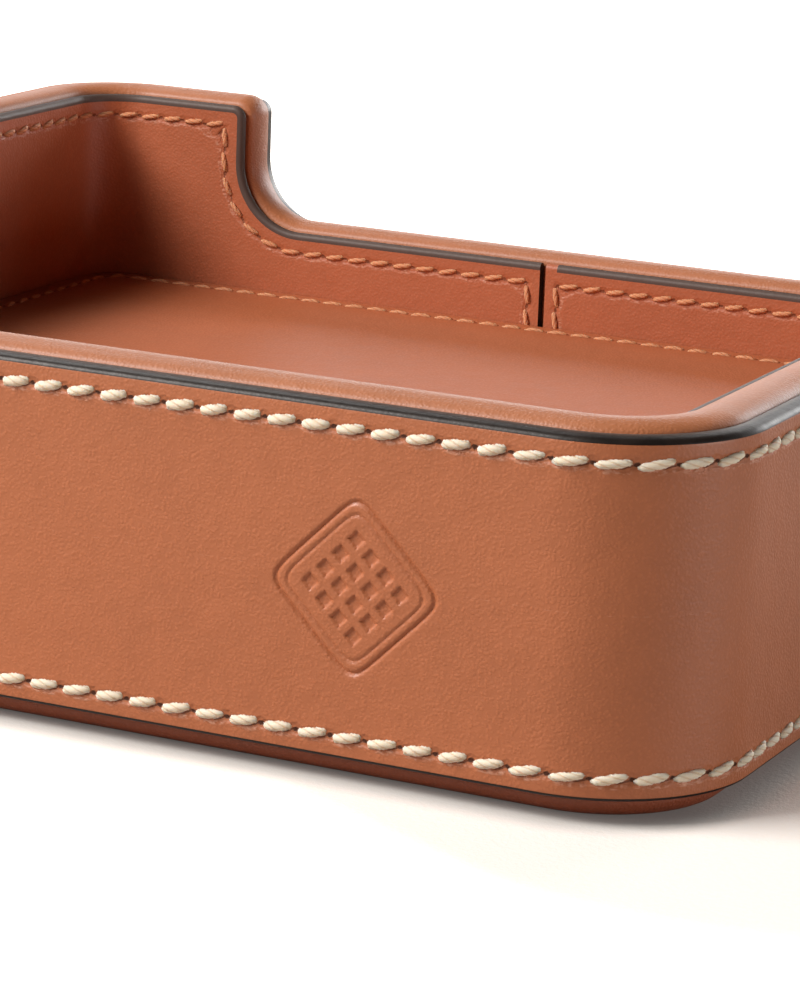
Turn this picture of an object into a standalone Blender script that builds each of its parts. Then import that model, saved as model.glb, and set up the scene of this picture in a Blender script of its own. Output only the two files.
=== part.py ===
"""Leather desk tray: a board carcass wrapped in leather between an outer band and a lining band.

Lengths are in metres, +Z up. The front wall faces -Y and the scooped rear wall faces +Y.
The origin lies on the resting surface, below the middle of the tray.
"""

import math

import bmesh
import bpy

# Outside of the tray
tray_width = 0.178
tray_depth = 0.185
corner_radius = 0.0167
glue_gap = 0.0003

# Outer band
band_thickness = 0.0022
band_height = 0.0377
band_lift = 0.0026
band_edge_round = 0.0004

# Leather wrap over the wall boards, and the dome that it makes on the rim
wrap_thickness = 0.0008
rim_rise = 0.0013
rim_shoulder_drop = 0.0003

# Wall boards and corner posts
board_thickness = 0.0032

# Lining band
lining_thickness = 0.0015
lining_edge_round = 0.0006

# Scoop in the rear wall
scoop_shoulder = 0.017
scoop_drop = 0.0181
scoop_foot_radius = 0.0098
scoop_lip_radius = 0.0018
scoop_fan_share = 0.55

# Butt seams of the two bands, off the middle of the rear wall
seam_shift = 0.0052

# Base and floor
base_edge_radius = 0.002
base_thickness = 0.007
stiffener_thickness = 0.0028
floor_thickness = 0.0015
floor_edge_round = 0.0004

# How finely the round stretches are divided
corner_steps = 10
scoop_foot_steps = 7
scoop_lip_steps = 4
arch_steps = 8
round_steps = 2
base_round_steps = 4

# Insets of the layers of a wall, from its outer face inwards
wrap_outer = band_thickness + glue_gap
board_outer = wrap_outer + wrap_thickness + glue_gap
board_inner = board_outer + board_thickness
wrap_inner = board_inner + glue_gap + wrap_thickness
lining_outer = wrap_inner + glue_gap
wall_thickness = lining_outer + lining_thickness
floor_inset = wall_thickness + glue_gap

# The scoop's width, between a full-height shoulder of the rear wall at either corner
scoop_width = tray_width - 2 * corner_radius - 2 * scoop_shoulder

# Heights of the layers of the base, from the resting surface upwards
base_bottom = wrap_thickness + glue_gap
base_top = base_bottom + base_thickness
wall_foot = base_top + glue_gap
stiffener_top = wall_foot + stiffener_thickness
floor_bottom = stiffener_top + glue_gap
floor_top = floor_bottom + floor_thickness
band_top = band_lift + band_height

# Colour, roughness and metallic of each material
LEATHER = ((0.50, 0.19, 0.09, 1.0), 0.48, 0.0)
LINING = ((0.42, 0.15, 0.07, 1.0), 0.55, 0.0)
BOARD = ((0.33, 0.25, 0.17, 1.0), 0.85, 0.0)
POST = ((0.42, 0.29, 0.16, 1.0), 0.75, 0.0)


def clear_scene():
    for old in list(bpy.data.objects):
        bpy.data.objects.remove(old, do_unlink=True)


def make_material(name, finish):
    colour, roughness, metallic = finish
    material = bpy.data.materials.new(name)
    material.use_nodes = True
    shader = material.node_tree.nodes["Principled BSDF"]
    shader.inputs["Base Color"].default_value = colour
    shader.inputs["Roughness"].default_value = roughness
    shader.inputs["Metallic"].default_value = metallic
    return material


class Perimeter:
    """The outer outline in plan, followed from the seam to the left, front, right and back again."""

    def __init__(self):
        half_x = tray_width / 2
        half_y = tray_depth / 2
        straight_x = half_x - corner_radius
        straight_y = half_y - corner_radius
        arc = corner_radius * math.pi / 2
        self.runs = []
        self.corners = []
        self.length = 0.0
        self.add_line((-seam_shift, half_y), (-1, 0), straight_x - seam_shift)
        self.add_arc((-straight_x, straight_y), math.pi / 2, arc)
        self.add_line((-half_x, straight_y), (0, -1), 2 * straight_y)
        self.add_arc((-straight_x, -straight_y), math.pi, arc)
        self.add_line((-straight_x, -half_y), (1, 0), 2 * straight_x)
        self.add_arc((straight_x, -straight_y), 3 * math.pi / 2, arc)
        self.add_line((half_x, -straight_y), (0, 1), 2 * straight_y)
        self.add_arc((straight_x, straight_y), 0.0, arc)
        self.add_line((straight_x, half_y), (-1, 0), straight_x + seam_shift)

    def add_line(self, start, heading, length):
        self.runs.append((self.length, length, "line", start, heading))
        self.length += length

    def add_arc(self, centre, first_angle, length):
        self.corners.append((self.length, self.length + length))
        self.runs.append((self.length, length, "arc", centre, first_angle))
        self.length += length

    def place(self, along, inset):
        """The point in plan at a distance along the outline and an inset from it."""
        for begin, length, kind, anchor, turn in self.runs:
            if along <= begin + length or begin + length == self.length:
                break
        travelled = along - begin
        if kind == "line":
            x = anchor[0] + turn[0] * travelled - turn[1] * inset
            y = anchor[1] + turn[1] * travelled + turn[0] * inset
            return x, y
        angle = turn + travelled / corner_radius
        radius = corner_radius - inset
        return anchor[0] + radius * math.cos(angle), anchor[1] + radius * math.sin(angle)


outline = Perimeter()


class Station:
    """One cut through the wall: where its top edge is, which way that edge faces, and where its foot is."""

    def __init__(self, along, height, facing=(0.0, 1.0), foot=None):
        self.along = along
        self.height = height
        self.facing = facing
        self.foot = along if foot is None else foot

    def point(self, inset, level, offset):
        """A level of "top" is measured square to the top edge; other levels are heights of the foot."""
        if level == "top":
            x, y = outline.place(self.along + offset * self.facing[0], inset)
            return x, y, self.height + offset * self.facing[1]
        x, y = outline.place(self.foot, inset)
        return x, y, level + offset


def scoop_side():
    """Stations up the first side of the scoop, with the distance from the scoop's middle as along."""
    low = band_top - scoop_drop
    half = scoop_width / 2
    points = []
    for step in range(scoop_foot_steps + 1):
        angle = math.pi / 2 * step / scoop_foot_steps
        along = half - scoop_foot_radius + scoop_foot_radius * math.sin(angle)
        height = low + scoop_foot_radius - scoop_foot_radius * math.cos(angle)
        points.append((along, height, (-math.sin(angle), math.cos(angle))))
    for step in range(scoop_lip_steps + 1):
        angle = math.pi / 2 * step / scoop_lip_steps
        along = half + scoop_lip_radius - scoop_lip_radius * math.cos(angle)
        height = band_top - scoop_lip_radius + scoop_lip_radius * math.sin(angle)
        points.append((along, height, (-math.cos(angle), math.sin(angle))))
    return points


def wall_stations():
    """Every station of the wall, from the seam round to the seam.

    The feet below a side of the scoop fan out, so that no two cuts cross.
    """
    low = band_top - scoop_drop
    side = scoop_side()
    fan_start = scoop_width / 2 - scoop_foot_radius
    fan_end = scoop_width / 2 + scoop_shoulder * scoop_fan_share
    stations = [Station(0.0, low)]
    for index, (along, height, facing) in enumerate(side):
        foot = fan_start + (fan_end - fan_start) * index / (len(side) - 1)
        stations.append(Station(along - seam_shift, height, facing, foot - seam_shift))
    stations.append(Station(fan_end - seam_shift, band_top))
    for begin, end in outline.corners:
        for step in range(corner_steps + 1):
            stations.append(Station(begin + (end - begin) * step / corner_steps, band_top))
    middle = outline.length - seam_shift
    stations.append(Station(middle - fan_end, band_top))
    for index, (along, height, facing) in reversed(list(enumerate(side))):
        foot = fan_start + (fan_end - fan_start) * index / (len(side) - 1)
        stations.append(Station(middle - along, height, (-facing[0], facing[1]), middle - foot))
    stations.append(Station(outline.length, low))
    return stations


def between(stations, begin, end):
    """The stations of one stretch of the wall, with plain ends at begin and end."""
    inside = [item for item in stations if begin < item.along < end]
    return [Station(begin, band_top)] + inside + [Station(end, band_top)]


def arch(shrink):
    """The dome of the rim as (inset, "top", offset), drawn in by shrink on every side."""
    middle = (wrap_outer + wrap_inner) / 2
    half = (wrap_inner - wrap_outer) / 2 - shrink
    rise = rim_rise + rim_shoulder_drop - shrink
    points = []
    for step in range(arch_steps + 1):
        angle = math.pi * step / arch_steps
        points.append((middle - half * math.cos(angle), "top", rise * math.sin(angle) - rim_shoulder_drop))
    return points


def rounded_edge(inset, level, offset, radius, turn):
    """The points of one rounded arris; turn says which of its four quarters it is."""
    side, up = turn
    points = []
    for step in range(round_steps + 1):
        angle = math.pi / 2 * step / round_steps
        run = radius * (1 - math.sin(angle))
        drop = radius * (1 - math.cos(angle))
        points.append((inset + side * run, level, offset - up * drop))
    return points


def band_section(outer, thickness, foot, radius):
    """A strip of leather on edge, its four arrises rounded, as a closed loop of points."""
    inner = outer + thickness
    section = []
    section += reversed(rounded_edge(outer, "top", 0.0, radius, (1, 1)))
    section += rounded_edge(inner, "top", 0.0, radius, (-1, 1))
    section += reversed(rounded_edge(inner, foot, 0.0, radius, (-1, -1)))
    section += rounded_edge(outer, foot, 0.0, radius, (1, -1))
    return section


def wrap_section():
    """The leather wrap: up the outside of the boards, over the dome and down the inside."""
    section = [(wrap_outer, wall_foot, 0.0)]
    section += arch(0.0)
    section.append((wrap_inner, wall_foot, 0.0))
    section.append((wrap_inner - wrap_thickness, wall_foot, 0.0))
    section += reversed(arch(wrap_thickness))
    section.append((wrap_outer + wrap_thickness, wall_foot, 0.0))
    return section


def board_section():
    """A wall board, its top rounded to fill the wrap."""
    section = [(board_outer, wall_foot, 0.0)]
    section += arch(wrap_thickness + glue_gap)
    section.append((board_inner, wall_foot, 0.0))
    return section


def finish_object(name, finish, mesh_data):
    """Turn a bmesh into a named, smooth-shaded object with its own material."""
    bmesh.ops.recalc_face_normals(mesh_data, faces=mesh_data.faces)
    mesh = bpy.data.meshes.new(name)
    mesh_data.to_mesh(mesh)
    mesh_data.free()
    piece = bpy.data.objects.new(name, mesh)
    bpy.context.scene.collection.objects.link(piece)
    mesh.shade_smooth()
    mesh.set_sharp_from_angle(angle=math.radians(35))
    mesh.materials.append(make_material(name, finish))
    return piece


def sweep(name, finish, section, stations, closed):
    """Carry a closed section along the stations; an open sweep gets flat ends."""
    mesh_data = bmesh.new()
    rings = []
    for station in stations:
        rings.append([mesh_data.verts.new(station.point(*corner)) for corner in section])
    count = len(section)
    pairs = list(zip(rings, rings[1:]))
    if closed:
        pairs.append((rings[-1], rings[0]))
    for here, there in pairs:
        for index in range(count):
            after = (index + 1) % count
            mesh_data.faces.new((here[index], here[after], there[after], there[index]))
    if not closed:
        mesh_data.faces.new(rings[0])
        mesh_data.faces.new(rings[-1])
    return finish_object(name, finish, mesh_data)


def slab(name, finish, stations, levels, hollow=None):
    """A plate with the tray's plan: levels are (inset, height) pairs from its bottom to its top.

    With hollow, the levels run up the outside, and hollow holds the same kind of pairs down the inside.
    """
    mesh_data = bmesh.new()
    rows = []
    for inset, height in levels + (hollow or []):
        rows.append([mesh_data.verts.new(item.point(inset, height, 0.0)) for item in stations])
    count = len(stations)
    for lower, upper in zip(rows, rows[1:]):
        for index in range(count):
            after = (index + 1) % count
            mesh_data.faces.new((lower[index], lower[after], upper[after], upper[index]))
    mesh_data.faces.new(rows[0])
    mesh_data.faces.new(rows[-1])
    return finish_object(name, finish, mesh_data)


def base_round(inset, bottom, radius):
    """The rounded lower edge of a plate, from its underside up to its side."""
    levels = []
    for step in range(base_round_steps + 1):
        angle = math.pi / 2 * step / base_round_steps
        levels.append((inset + radius * (1 - math.sin(angle)), bottom + radius * (1 - math.cos(angle))))
    return levels


def plan_stations():
    """Stations on the corners alone, for plates that don't meet the scoop."""
    stations = []
    for begin, end in outline.corners:
        for step in range(corner_steps + 1):
            stations.append(Station(begin + (end - begin) * step / corner_steps, band_top))
    return stations


def build_wall_boards(stations):
    """Four boards and four corner posts, butted with a glue line between them."""
    section = board_section()
    corners = outline.corners
    post_names = ("rear_left_post", "front_left_post", "front_right_post", "rear_right_post")
    board_names = ("left_board", "front_board", "right_board")
    for name, (begin, end) in zip(post_names, corners):
        sweep(name, POST, section, between(stations, begin, end), closed=False)
    for name, before, after in zip(board_names, corners, corners[1:]):
        begin = before[1] + glue_gap
        end = after[0] - glue_gap
        sweep(name, BOARD, section, [Station(begin, band_top), Station(end, band_top)], closed=False)
    head = [item for item in stations if item.along > corners[3][1] and item.along < outline.length]
    tail = [item for item in stations if 0.0 < item.along < corners[0][0]]
    rear = [Station(corners[3][1] + glue_gap, band_top)] + head
    rear += tail + [Station(corners[0][0] - glue_gap, band_top)]
    sweep("rear_board", BOARD, section, rear, closed=False)


def build_wrap(stations):
    """The leather over the boards, one ring without an open seam."""
    sweep("rim_wrap", LEATHER, wrap_section(), stations[:-1], closed=True)


def build_band(name, finish, section, stations):
    """A strip whose two ends meet at the seam with a hairline between them."""
    low = band_top - scoop_drop
    first = Station(glue_gap / 2, low)
    last = Station(outline.length - glue_gap / 2, low)
    sweep(name, finish, section, [first] + stations[1:-1] + [last], closed=False)


def build_base_and_floor():
    plan = plan_stations()
    skin = base_round(wrap_outer, 0.0, base_edge_radius)
    skin.append((wrap_outer, base_top))
    inner_inset = wrap_outer + wrap_thickness
    inner = [(inner_inset, base_top)]
    inner += reversed(base_round(inner_inset, wrap_thickness, base_edge_radius - wrap_thickness))
    slab("base_cover", LEATHER, plan, skin, inner)
    core = base_round(board_outer, base_bottom, base_edge_radius - wrap_thickness - glue_gap)
    core.append((board_outer, base_top))
    slab("base_board", BOARD, plan, core)
    stiffener = [(floor_inset, wall_foot), (floor_inset, stiffener_top)]
    slab("floor_stiffener", BOARD, plan, stiffener)
    panel = [
        (floor_inset, floor_bottom),
        (floor_inset, floor_top - floor_edge_round),
        (floor_inset + floor_edge_round, floor_top),
    ]
    slab("floor_panel", LINING, plan, panel)


def build_tray():
    clear_scene()
    stations = wall_stations()
    build_base_and_floor()
    build_wall_boards(stations)
    build_wrap(stations)
    band = band_section(0.0, band_thickness, band_lift, band_edge_round)
    build_band("outer_band", LEATHER, band, stations)
    lining = band_section(lining_outer, lining_thickness, wall_foot, lining_edge_round)
    build_band("lining_band", LINING, lining, stations)


build_tray()
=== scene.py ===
"""Looks of the leather desk tray: leather, painted edges, saddle stitches, studio light and camera.

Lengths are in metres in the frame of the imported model: +Z up, the front wall faces -Y, and the scooped
rear wall faces +Y.
"""

import math
from itertools import accumulate

import bmesh
import bpy
import numpy as np
from mathutils import Matrix, Vector


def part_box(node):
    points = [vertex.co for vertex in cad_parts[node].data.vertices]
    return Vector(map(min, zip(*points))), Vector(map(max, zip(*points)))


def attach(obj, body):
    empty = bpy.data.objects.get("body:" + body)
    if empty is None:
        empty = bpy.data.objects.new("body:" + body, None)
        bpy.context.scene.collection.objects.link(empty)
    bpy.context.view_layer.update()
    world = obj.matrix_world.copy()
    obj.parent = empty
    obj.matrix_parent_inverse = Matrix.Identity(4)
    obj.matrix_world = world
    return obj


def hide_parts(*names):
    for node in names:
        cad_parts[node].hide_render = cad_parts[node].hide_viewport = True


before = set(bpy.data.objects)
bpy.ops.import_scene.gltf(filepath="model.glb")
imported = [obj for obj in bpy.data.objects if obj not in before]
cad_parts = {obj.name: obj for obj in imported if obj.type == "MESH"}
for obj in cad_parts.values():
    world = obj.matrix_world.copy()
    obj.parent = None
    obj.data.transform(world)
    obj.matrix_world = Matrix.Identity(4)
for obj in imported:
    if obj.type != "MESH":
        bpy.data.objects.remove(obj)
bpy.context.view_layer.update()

MM = 0.001

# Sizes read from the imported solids
band_low, band_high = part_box("outer_band")
wrap_low, wrap_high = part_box("rim_wrap")
lining_low, lining_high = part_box("lining_band")
floor_low, floor_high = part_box("floor_panel")
base_low, base_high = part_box("base_cover")
half_x = band_high.x
half_y = band_high.y
band_foot = band_low.z
band_top = band_high.z
crest_rise = wrap_high.z - band_top
lining_outer = half_x - lining_high.x
lining_foot = lining_low.z
floor_bottom = floor_low.z
floor_top = floor_high.z
base_inset = half_x - base_high.x
base_top = base_high.z

# Sizes of the construction that a box can't tell
corner_radius = 16.7 * MM
band_thickness = 2.2 * MM
lining_thickness = 1.5 * MM
scoop_shoulder = 17.0 * MM
scoop_drop = 18.1 * MM
scoop_foot_radius = 9.8 * MM
scoop_lip_radius = 1.8 * MM
scoop_fan_share = 0.55
seam_shift = 5.2 * MM
shoulder_drop = 0.3 * MM
skin_thickness = 0.8 * MM
base_edge_radius = 2.0 * MM
run_x = half_x - corner_radius
run_y = half_y - corner_radius
corner_arc = corner_radius * math.pi / 2
scoop_half = run_x - scoop_shoulder
low_top = band_top - scoop_drop
wall_thickness = lining_outer + lining_thickness

# Finish of the edges
band_round = 0.6 * MM
band_crown = 0.30 * MM
band_reach = 0.42 * MM
lining_round = 0.65 * MM
lining_crown = 0.08 * MM
lining_reach = 0.95 * MM
crown_shares = (0.45, 0.60)
far_arris_share = 0.4
crease = 0.05 * MM
band_seam_gap = 0.3 * MM
lining_seam_gap = 0.9 * MM
bare_end = 1.8 * MM
floor_fit = 0.03 * MM
floor_round = 0.5 * MM

# Stitch rows; a hole is where one stitch ends and the next begins
outer_pitch = 4.0 * MM
outer_top_gap = 2.37 * MM
outer_foot_gap = 2.49 * MM
front_hole = 8.4 * MM
top_lead = 4.4 * MM
foot_lead = 3.2 * MM
corner_stitches = 30.8 * MM
corner_stretch = 1.1
stitch_share = 0.83
outer_thread_radius = 0.59 * MM
inner_thread_radius = 0.43 * MM
inner_pitch = 3.66 * MM
inner_gap = 2.9 * MM
seam_row_gap = 2.3 * MM
floor_row_gap = 3.5 * MM
row_step = 2.0 * MM
ply_valley = 0.11

# Measuring vertices against the rows: a distance beyond any, and how many are measured at a time
far_off = 1e9
batch = 4000

# Tooled lozenge on the front wall
lozenge_x = 51.1 * MM
lozenge_z = 21.2 * MM
lozenge_half = 10.6 * MM
groove_depth = 0.28 * MM
seed_depth = 0.30 * MM
seed_rows = 4
lattice_half = 0.65

# How finely the pieces are divided
corner_steps = 28
foot_steps = 18
lip_steps = 8
arris_steps = 5
round_steps = 8
band_face_rows = 26
lining_face_rows = 16
stitch_rings = 10
straight_step = 2.5 * MM
lozenge_step = 1.25 * MM
lozenge_cuts = 7

# Camera, solved from the photograph
camera_place = Vector((230.0 * MM, -461.6 * MM, 131.4 * MM))
camera_heading = math.radians(25.253)
camera_pitch = math.radians(13.783)
camera_roll = math.radians(2.228)
focal_share = 4.124
sensor = 36.0

# Each light: its name, azimuth from the front towards the right, elevation, height and power
studio_lights = [
    ("key", -50.0, 42.0, 0.45, 18.8),
    ("front_fill", -25.0, 28.0, 0.45, 3.4),
    ("left_fill", -130.0, 42.0, 0.45, 2.7),
    ("right_fill", 90.0, 5.0, 0.16, 4.2),
    ("rear_left", -160.0, 14.0, 0.45, 2.4),
    ("rear", 170.0, 14.0, 0.45, 7.5),
    ("rear_right", 150.0, 14.0, 0.45, 1.6),
]
light_distance = 1.2
light_width = 0.6
world_strength = 0.01


class Outline:
    """The outer outline in plan, walked from the seam to the left, the front, the right and back."""

    def __init__(self):
        self.length = 0.0
        self.runs = []
        self.corners = []
        self.add_side((-seam_shift, half_y), (-1, 0), run_x - seam_shift)
        self.add_corner((-run_x, run_y), math.pi / 2)
        self.add_side((-half_x, run_y), (0, -1), 2 * run_y)
        self.add_corner((-run_x, -run_y), math.pi)
        self.front_begin = self.length
        self.add_side((-run_x, -half_y), (1, 0), 2 * run_x)
        self.add_corner((run_x, -run_y), 3 * math.pi / 2)
        self.add_side((half_x, -run_y), (0, 1), 2 * run_y)
        self.add_corner((run_x, run_y), 0.0)
        self.add_side((run_x, half_y), (-1, 0), run_x + seam_shift)

    def add_side(self, start, heading, length):
        self.runs.append((self.length, self.length + length, start, heading))
        self.length += length

    def add_corner(self, centre, first_angle):
        self.corners.append((self.length, self.length + corner_arc))
        self.add_side(centre, first_angle, corner_arc)

    def place(self, along, inset):
        """The point in plan at a distance along the outline and an inset from it."""
        for begin, end, anchor, turn in self.runs:
            if along <= end or end == self.length:
                break
        if isinstance(turn, tuple):
            travelled = along - begin
            x = anchor[0] + turn[0] * travelled - turn[1] * inset
            y = anchor[1] + turn[1] * travelled + turn[0] * inset
            return x, y
        angle = turn + (along - begin) / corner_radius
        radius = corner_radius - inset
        return anchor[0] + radius * math.cos(angle), anchor[1] + radius * math.sin(angle)

    def outward(self, along):
        """The direction in plan that the wall faces there."""
        near = Vector(self.place(along, 0.0))
        deep = Vector(self.place(along, MM))
        return (near - deep).normalized()

    def front_at(self, x):
        """The distance along the outline of a place on the front wall."""
        return self.front_begin + x + run_x


outline = Outline()


class Station:
    """One cut through the wall: its top edge, the way that this edge faces, and its foot."""

    def __init__(self, along, height=band_top, facing=(0.0, 1.0), foot=None):
        self.along = along
        self.height = height
        self.facing = facing
        self.foot = along if foot is None else foot


def quarter_turn(steps):
    """The sine and cosine of evenly spaced angles from zero to a right angle."""
    angles = [math.pi / 2 * step / steps for step in range(steps + 1)]
    return [(math.sin(angle), math.cos(angle)) for angle in angles]


def scoop_side():
    """Points up one side of the scoop: distance from its middle, height and facing."""
    points = []
    for sine, cosine in quarter_turn(foot_steps):
        along = scoop_half - scoop_foot_radius + scoop_foot_radius * sine
        height = low_top + scoop_foot_radius - scoop_foot_radius * cosine
        points.append((along, height, (-sine, cosine)))
    for sine, cosine in quarter_turn(lip_steps):
        along = scoop_half + scoop_lip_radius - scoop_lip_radius * cosine
        height = band_top - scoop_lip_radius + scoop_lip_radius * sine
        points.append((along, height, (-cosine, sine)))
    return points


def evenly(begin, end, step):
    """Values strictly between begin and end, about a step apart."""
    count = max(1, round((end - begin) / step))
    return [begin + (end - begin) * index / count for index in range(1, count)]


def straight_places(begin, end):
    """Places along a straight wall, closer together behind the lozenge."""
    tool_begin = outline.front_at(lozenge_x - lozenge_half - 2 * lozenge_step)
    tool_end = outline.front_at(lozenge_x + lozenge_half + 2 * lozenge_step)
    if not begin < tool_begin < end:
        return evenly(begin, end, straight_step)
    places = evenly(begin, tool_begin, straight_step) + [tool_begin]
    places += evenly(tool_begin, tool_end, lozenge_step) + [tool_end]
    return places + evenly(tool_end, end, straight_step)


def wall_stations(seam_gap):
    """Stations all round the wall, whose feet fan out below the two sides of the scoop."""
    side = scoop_side()
    fan_start = scoop_half - scoop_foot_radius
    fan_end = scoop_half + scoop_shoulder * scoop_fan_share
    feet = [fan_start + (fan_end - fan_start) * index / (len(side) - 1) for index in range(len(side))]
    stations = [Station(seam_gap / 2, low_top)]
    stations += [Station(place, low_top) for place in evenly(0.0, fan_start - seam_shift, straight_step)]
    for (along, height, facing), foot in zip(side, feet):
        stations.append(Station(along - seam_shift, height, facing, foot - seam_shift))
    begin = fan_end - seam_shift
    for corner_begin, corner_end in outline.corners:
        places = [begin, *straight_places(begin, corner_begin)]
        places += [corner_begin + corner_arc * step / corner_steps for step in range(corner_steps)]
        stations += [Station(place) for place in places]
        begin = corner_end
    middle = outline.length - seam_shift
    places = [begin, *evenly(begin, middle - fan_end, straight_step), middle - fan_end]
    stations += [Station(place) for place in places]
    for (along, height, facing), foot in zip(reversed(side), reversed(feet)):
        stations.append(Station(middle - along, height, (-facing[0], facing[1]), middle - foot))
    places = [*evenly(middle - fan_start, outline.length, straight_step), outline.length - seam_gap / 2]
    return stations + [Station(place, low_top) for place in places]


def arris(inset, radius, side, up):
    """Offsets (inset, offset) round one arris, from the face to the edge."""
    return [
        (inset + side * radius * (1 - cosine), -up * radius * (1 - sine))
        for sine, cosine in quarter_turn(arris_steps)
    ]


class Row:
    """One line of a section: its inset, and its share of the way from the foot to the top edge.

    Where only the top is given the share is 1, and where only the foot is, it is 0.
    """

    def __init__(self, inset, top=None, foot=0.0, share=None, painted=False):
        self.inset = inset
        self.top = top or 0.0
        self.foot = foot
        self.share = float(top is not None) if share is None else share
        self.painted = painted

    def crossing(self, station):
        """Where the row crosses a station, as (along, height); the top is measured square to its edge."""
        along = station.along + self.top * station.facing[0]
        height = station.height + self.top * station.facing[1]
        return [
            low + (high - low) * self.share
            for low, high in ((station.foot, along), (self.foot, height))
        ]


def rounded(share):
    """The form of an edge that is highest in its middle; share is 0 at the outer face, 1 at the inner."""
    return math.sin(math.pi * share)


def rising(share):
    """The form of an edge that climbs from its outer face and levels out against the rim."""
    return share * (2 - share)


def strip_section(outer, thickness, foot, radius, crown, form, reach, face_rows):
    """A strip of leather on edge as a closed loop of rows; reach is how far the paint comes down."""
    inner = outer + thickness
    face_end = max(radius, reach)

    def face(inset):
        """The rows up one face, with one more at either end where the paint comes past the arris."""
        up = [Row(inset, -face_end, foot + face_end, step / face_rows) for step in range(1, face_rows)]
        if reach > radius:
            up.insert(0, Row(inset, foot=foot + reach, painted=True))
            up.append(Row(inset, -reach, painted=True))
        return up

    def foot_arris(inset, side):
        turn = arris(inset, radius, side, -1)
        return [Row(place, foot=foot + offset, painted=offset < reach) for place, offset in turn]

    middle = [(outer + thickness * share, 0.0) for share in crown_shares]
    far_side = arris(inner, radius * (far_arris_share if form is rising else 1.0), -1, 1)
    crest = []
    for inset, offset in arris(outer, radius, 1, 1) + middle + far_side[::-1]:
        swell = crown * form((inset - outer) / thickness)
        crest.append(Row(inset, offset + swell, painted=offset > -reach))
    return foot_arris(outer, 1)[::-1] + face(outer) + crest + face(inner)[::-1] + foot_arris(inner, -1)


def sweep(rows, stations, closed=False):
    """Carry a section round the wall. Returns the bmesh and its rings of vertices."""
    mesh_data = bmesh.new()
    rings = []
    for station in stations:
        ring = []
        for row in rows:
            along, height = row.crossing(station)
            ring.append(mesh_data.verts.new((*outline.place(along, row.inset), height)))
        rings.append(ring)
    pairs = list(zip(rings, rings[1:]))
    if closed:
        pairs.append((rings[-1], rings[0]))
    for here, there in pairs:
        for index in range(len(rows)):
            after = (index + 1) % len(rows)
            face = mesh_data.faces.new((here[index], here[after], there[after], there[index]))
            face.material_index = int(rows[index].painted and rows[after].painted)
    if not closed:
        for ring in (rings[0], rings[-1]):
            mesh_data.faces.new(ring).material_index = 1
    bmesh.ops.recalc_face_normals(mesh_data, faces=mesh_data.faces)
    return mesh_data, rings


def stand(name, data):
    """Put an object with this data in the scene."""
    made = bpy.data.objects.new(name, data)
    bpy.context.scene.collection.objects.link(made)
    return made


def piece_from(name, mesh_data, materials, sharp=40.0):
    """Turn a bmesh into a smooth-shaded object with its materials."""
    mesh = bpy.data.meshes.new(name)
    mesh_data.to_mesh(mesh)
    mesh_data.free()
    mesh.shade_smooth()
    mesh.set_sharp_from_angle(angle=math.radians(sharp))
    for material in materials:
        mesh.materials.append(material)
    return stand(name, mesh)


def hand_over(piece, slot, *nodes):
    """Let a piece ride on the tray and stand for its solids; the slot is not used."""
    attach(piece, "root")
    if nodes:
        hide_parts(*nodes)


class Run:
    """A stretch of a stitch row from one hole to another, made of whole stitches."""

    def __init__(self, line, pitch, stretch, first, lift):
        self.line = divided(line)
        points = [lift(place) for place in self.line]
        self.totals = list(accumulate(map(math.dist, points, points[1:]), initial=0.0))
        self.count = max(2, round(self.totals[-1] / pitch / stretch))
        self.pitch = self.totals[-1] / self.count
        self.stretch = self.pitch / pitch
        self.first = first

    def path(self):
        """Places from the middle of the first stitch to that of the last one, four steps a stitch."""
        distances = self.pitch * np.linspace(0.5, self.count - 0.5, 4 * self.count - 3)
        return np.stack([np.interp(distances, self.totals, parts) for parts in zip(*self.line)], 1).tolist()


def divided(line):
    """The same line with a place at least every row_step."""
    finer = [line[0]]
    for near, far in zip(line, line[1:]):
        count = max(1, math.ceil(math.dist(near, far) / row_step))
        finer += np.linspace(near, far, count + 1)[1:].tolist()
    return finer


def chain(lines, pitch, lift, stretched=None):
    """Runs that follow each other, numbered through; those of the stretched length have longer stitches."""
    runs = []
    first = 0
    for line in lines:
        bent = stretched and abs(line[-1][0] - line[0][0] - stretched) < 0.01 * MM
        runs.append(Run(line, pitch, corner_stretch if bent else 1.0, first, lift))
        first += runs[-1].count
    return runs


def wall_lift(inset):
    """Turns a place on the unrolled wall, (along, height), into a point on the face at this inset."""
    def lift(place):
        return (*outline.place(place[0], inset), place[1])
    return lift


def edge_row(gap, foot, splits=()):
    """A row up beside the seam, along below the top edge and down again, cut where it turns or is split."""
    near, far = seam_row_gap, outline.length - seam_row_gap
    low, high = low_top - gap, band_top - gap
    side = scoop_side()[:foot_steps + 1]
    bend = [(along - gap * way[0], height - gap * way[1]) for along, height, way in side]
    bend.append((scoop_half + gap, high))
    climb = [(near, low)] + [(along - seam_shift, height) for along, height in bend]
    fall = [(outline.length - seam_shift - along, height) for along, height in bend[::-1]] + [(far, low)]
    marks = [climb[-1][0], *splits, fall[0][0]]
    flats = [[(begin, high), (end, high)] for begin, end in zip(marks, marks[1:])]
    return [[(near, foot), (near, low)], climb, *flats, fall, [(far, low), (far, foot)]]


def corner_splits(lead):
    """Where the longer stitches round each corner begin and end, and a hole that the photograph shows."""
    splits = [outline.front_at(front_hole)]
    for begin, end in outline.corners:
        splits += [begin - lead, begin - lead + corner_stitches]
    return sorted(splits)


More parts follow.
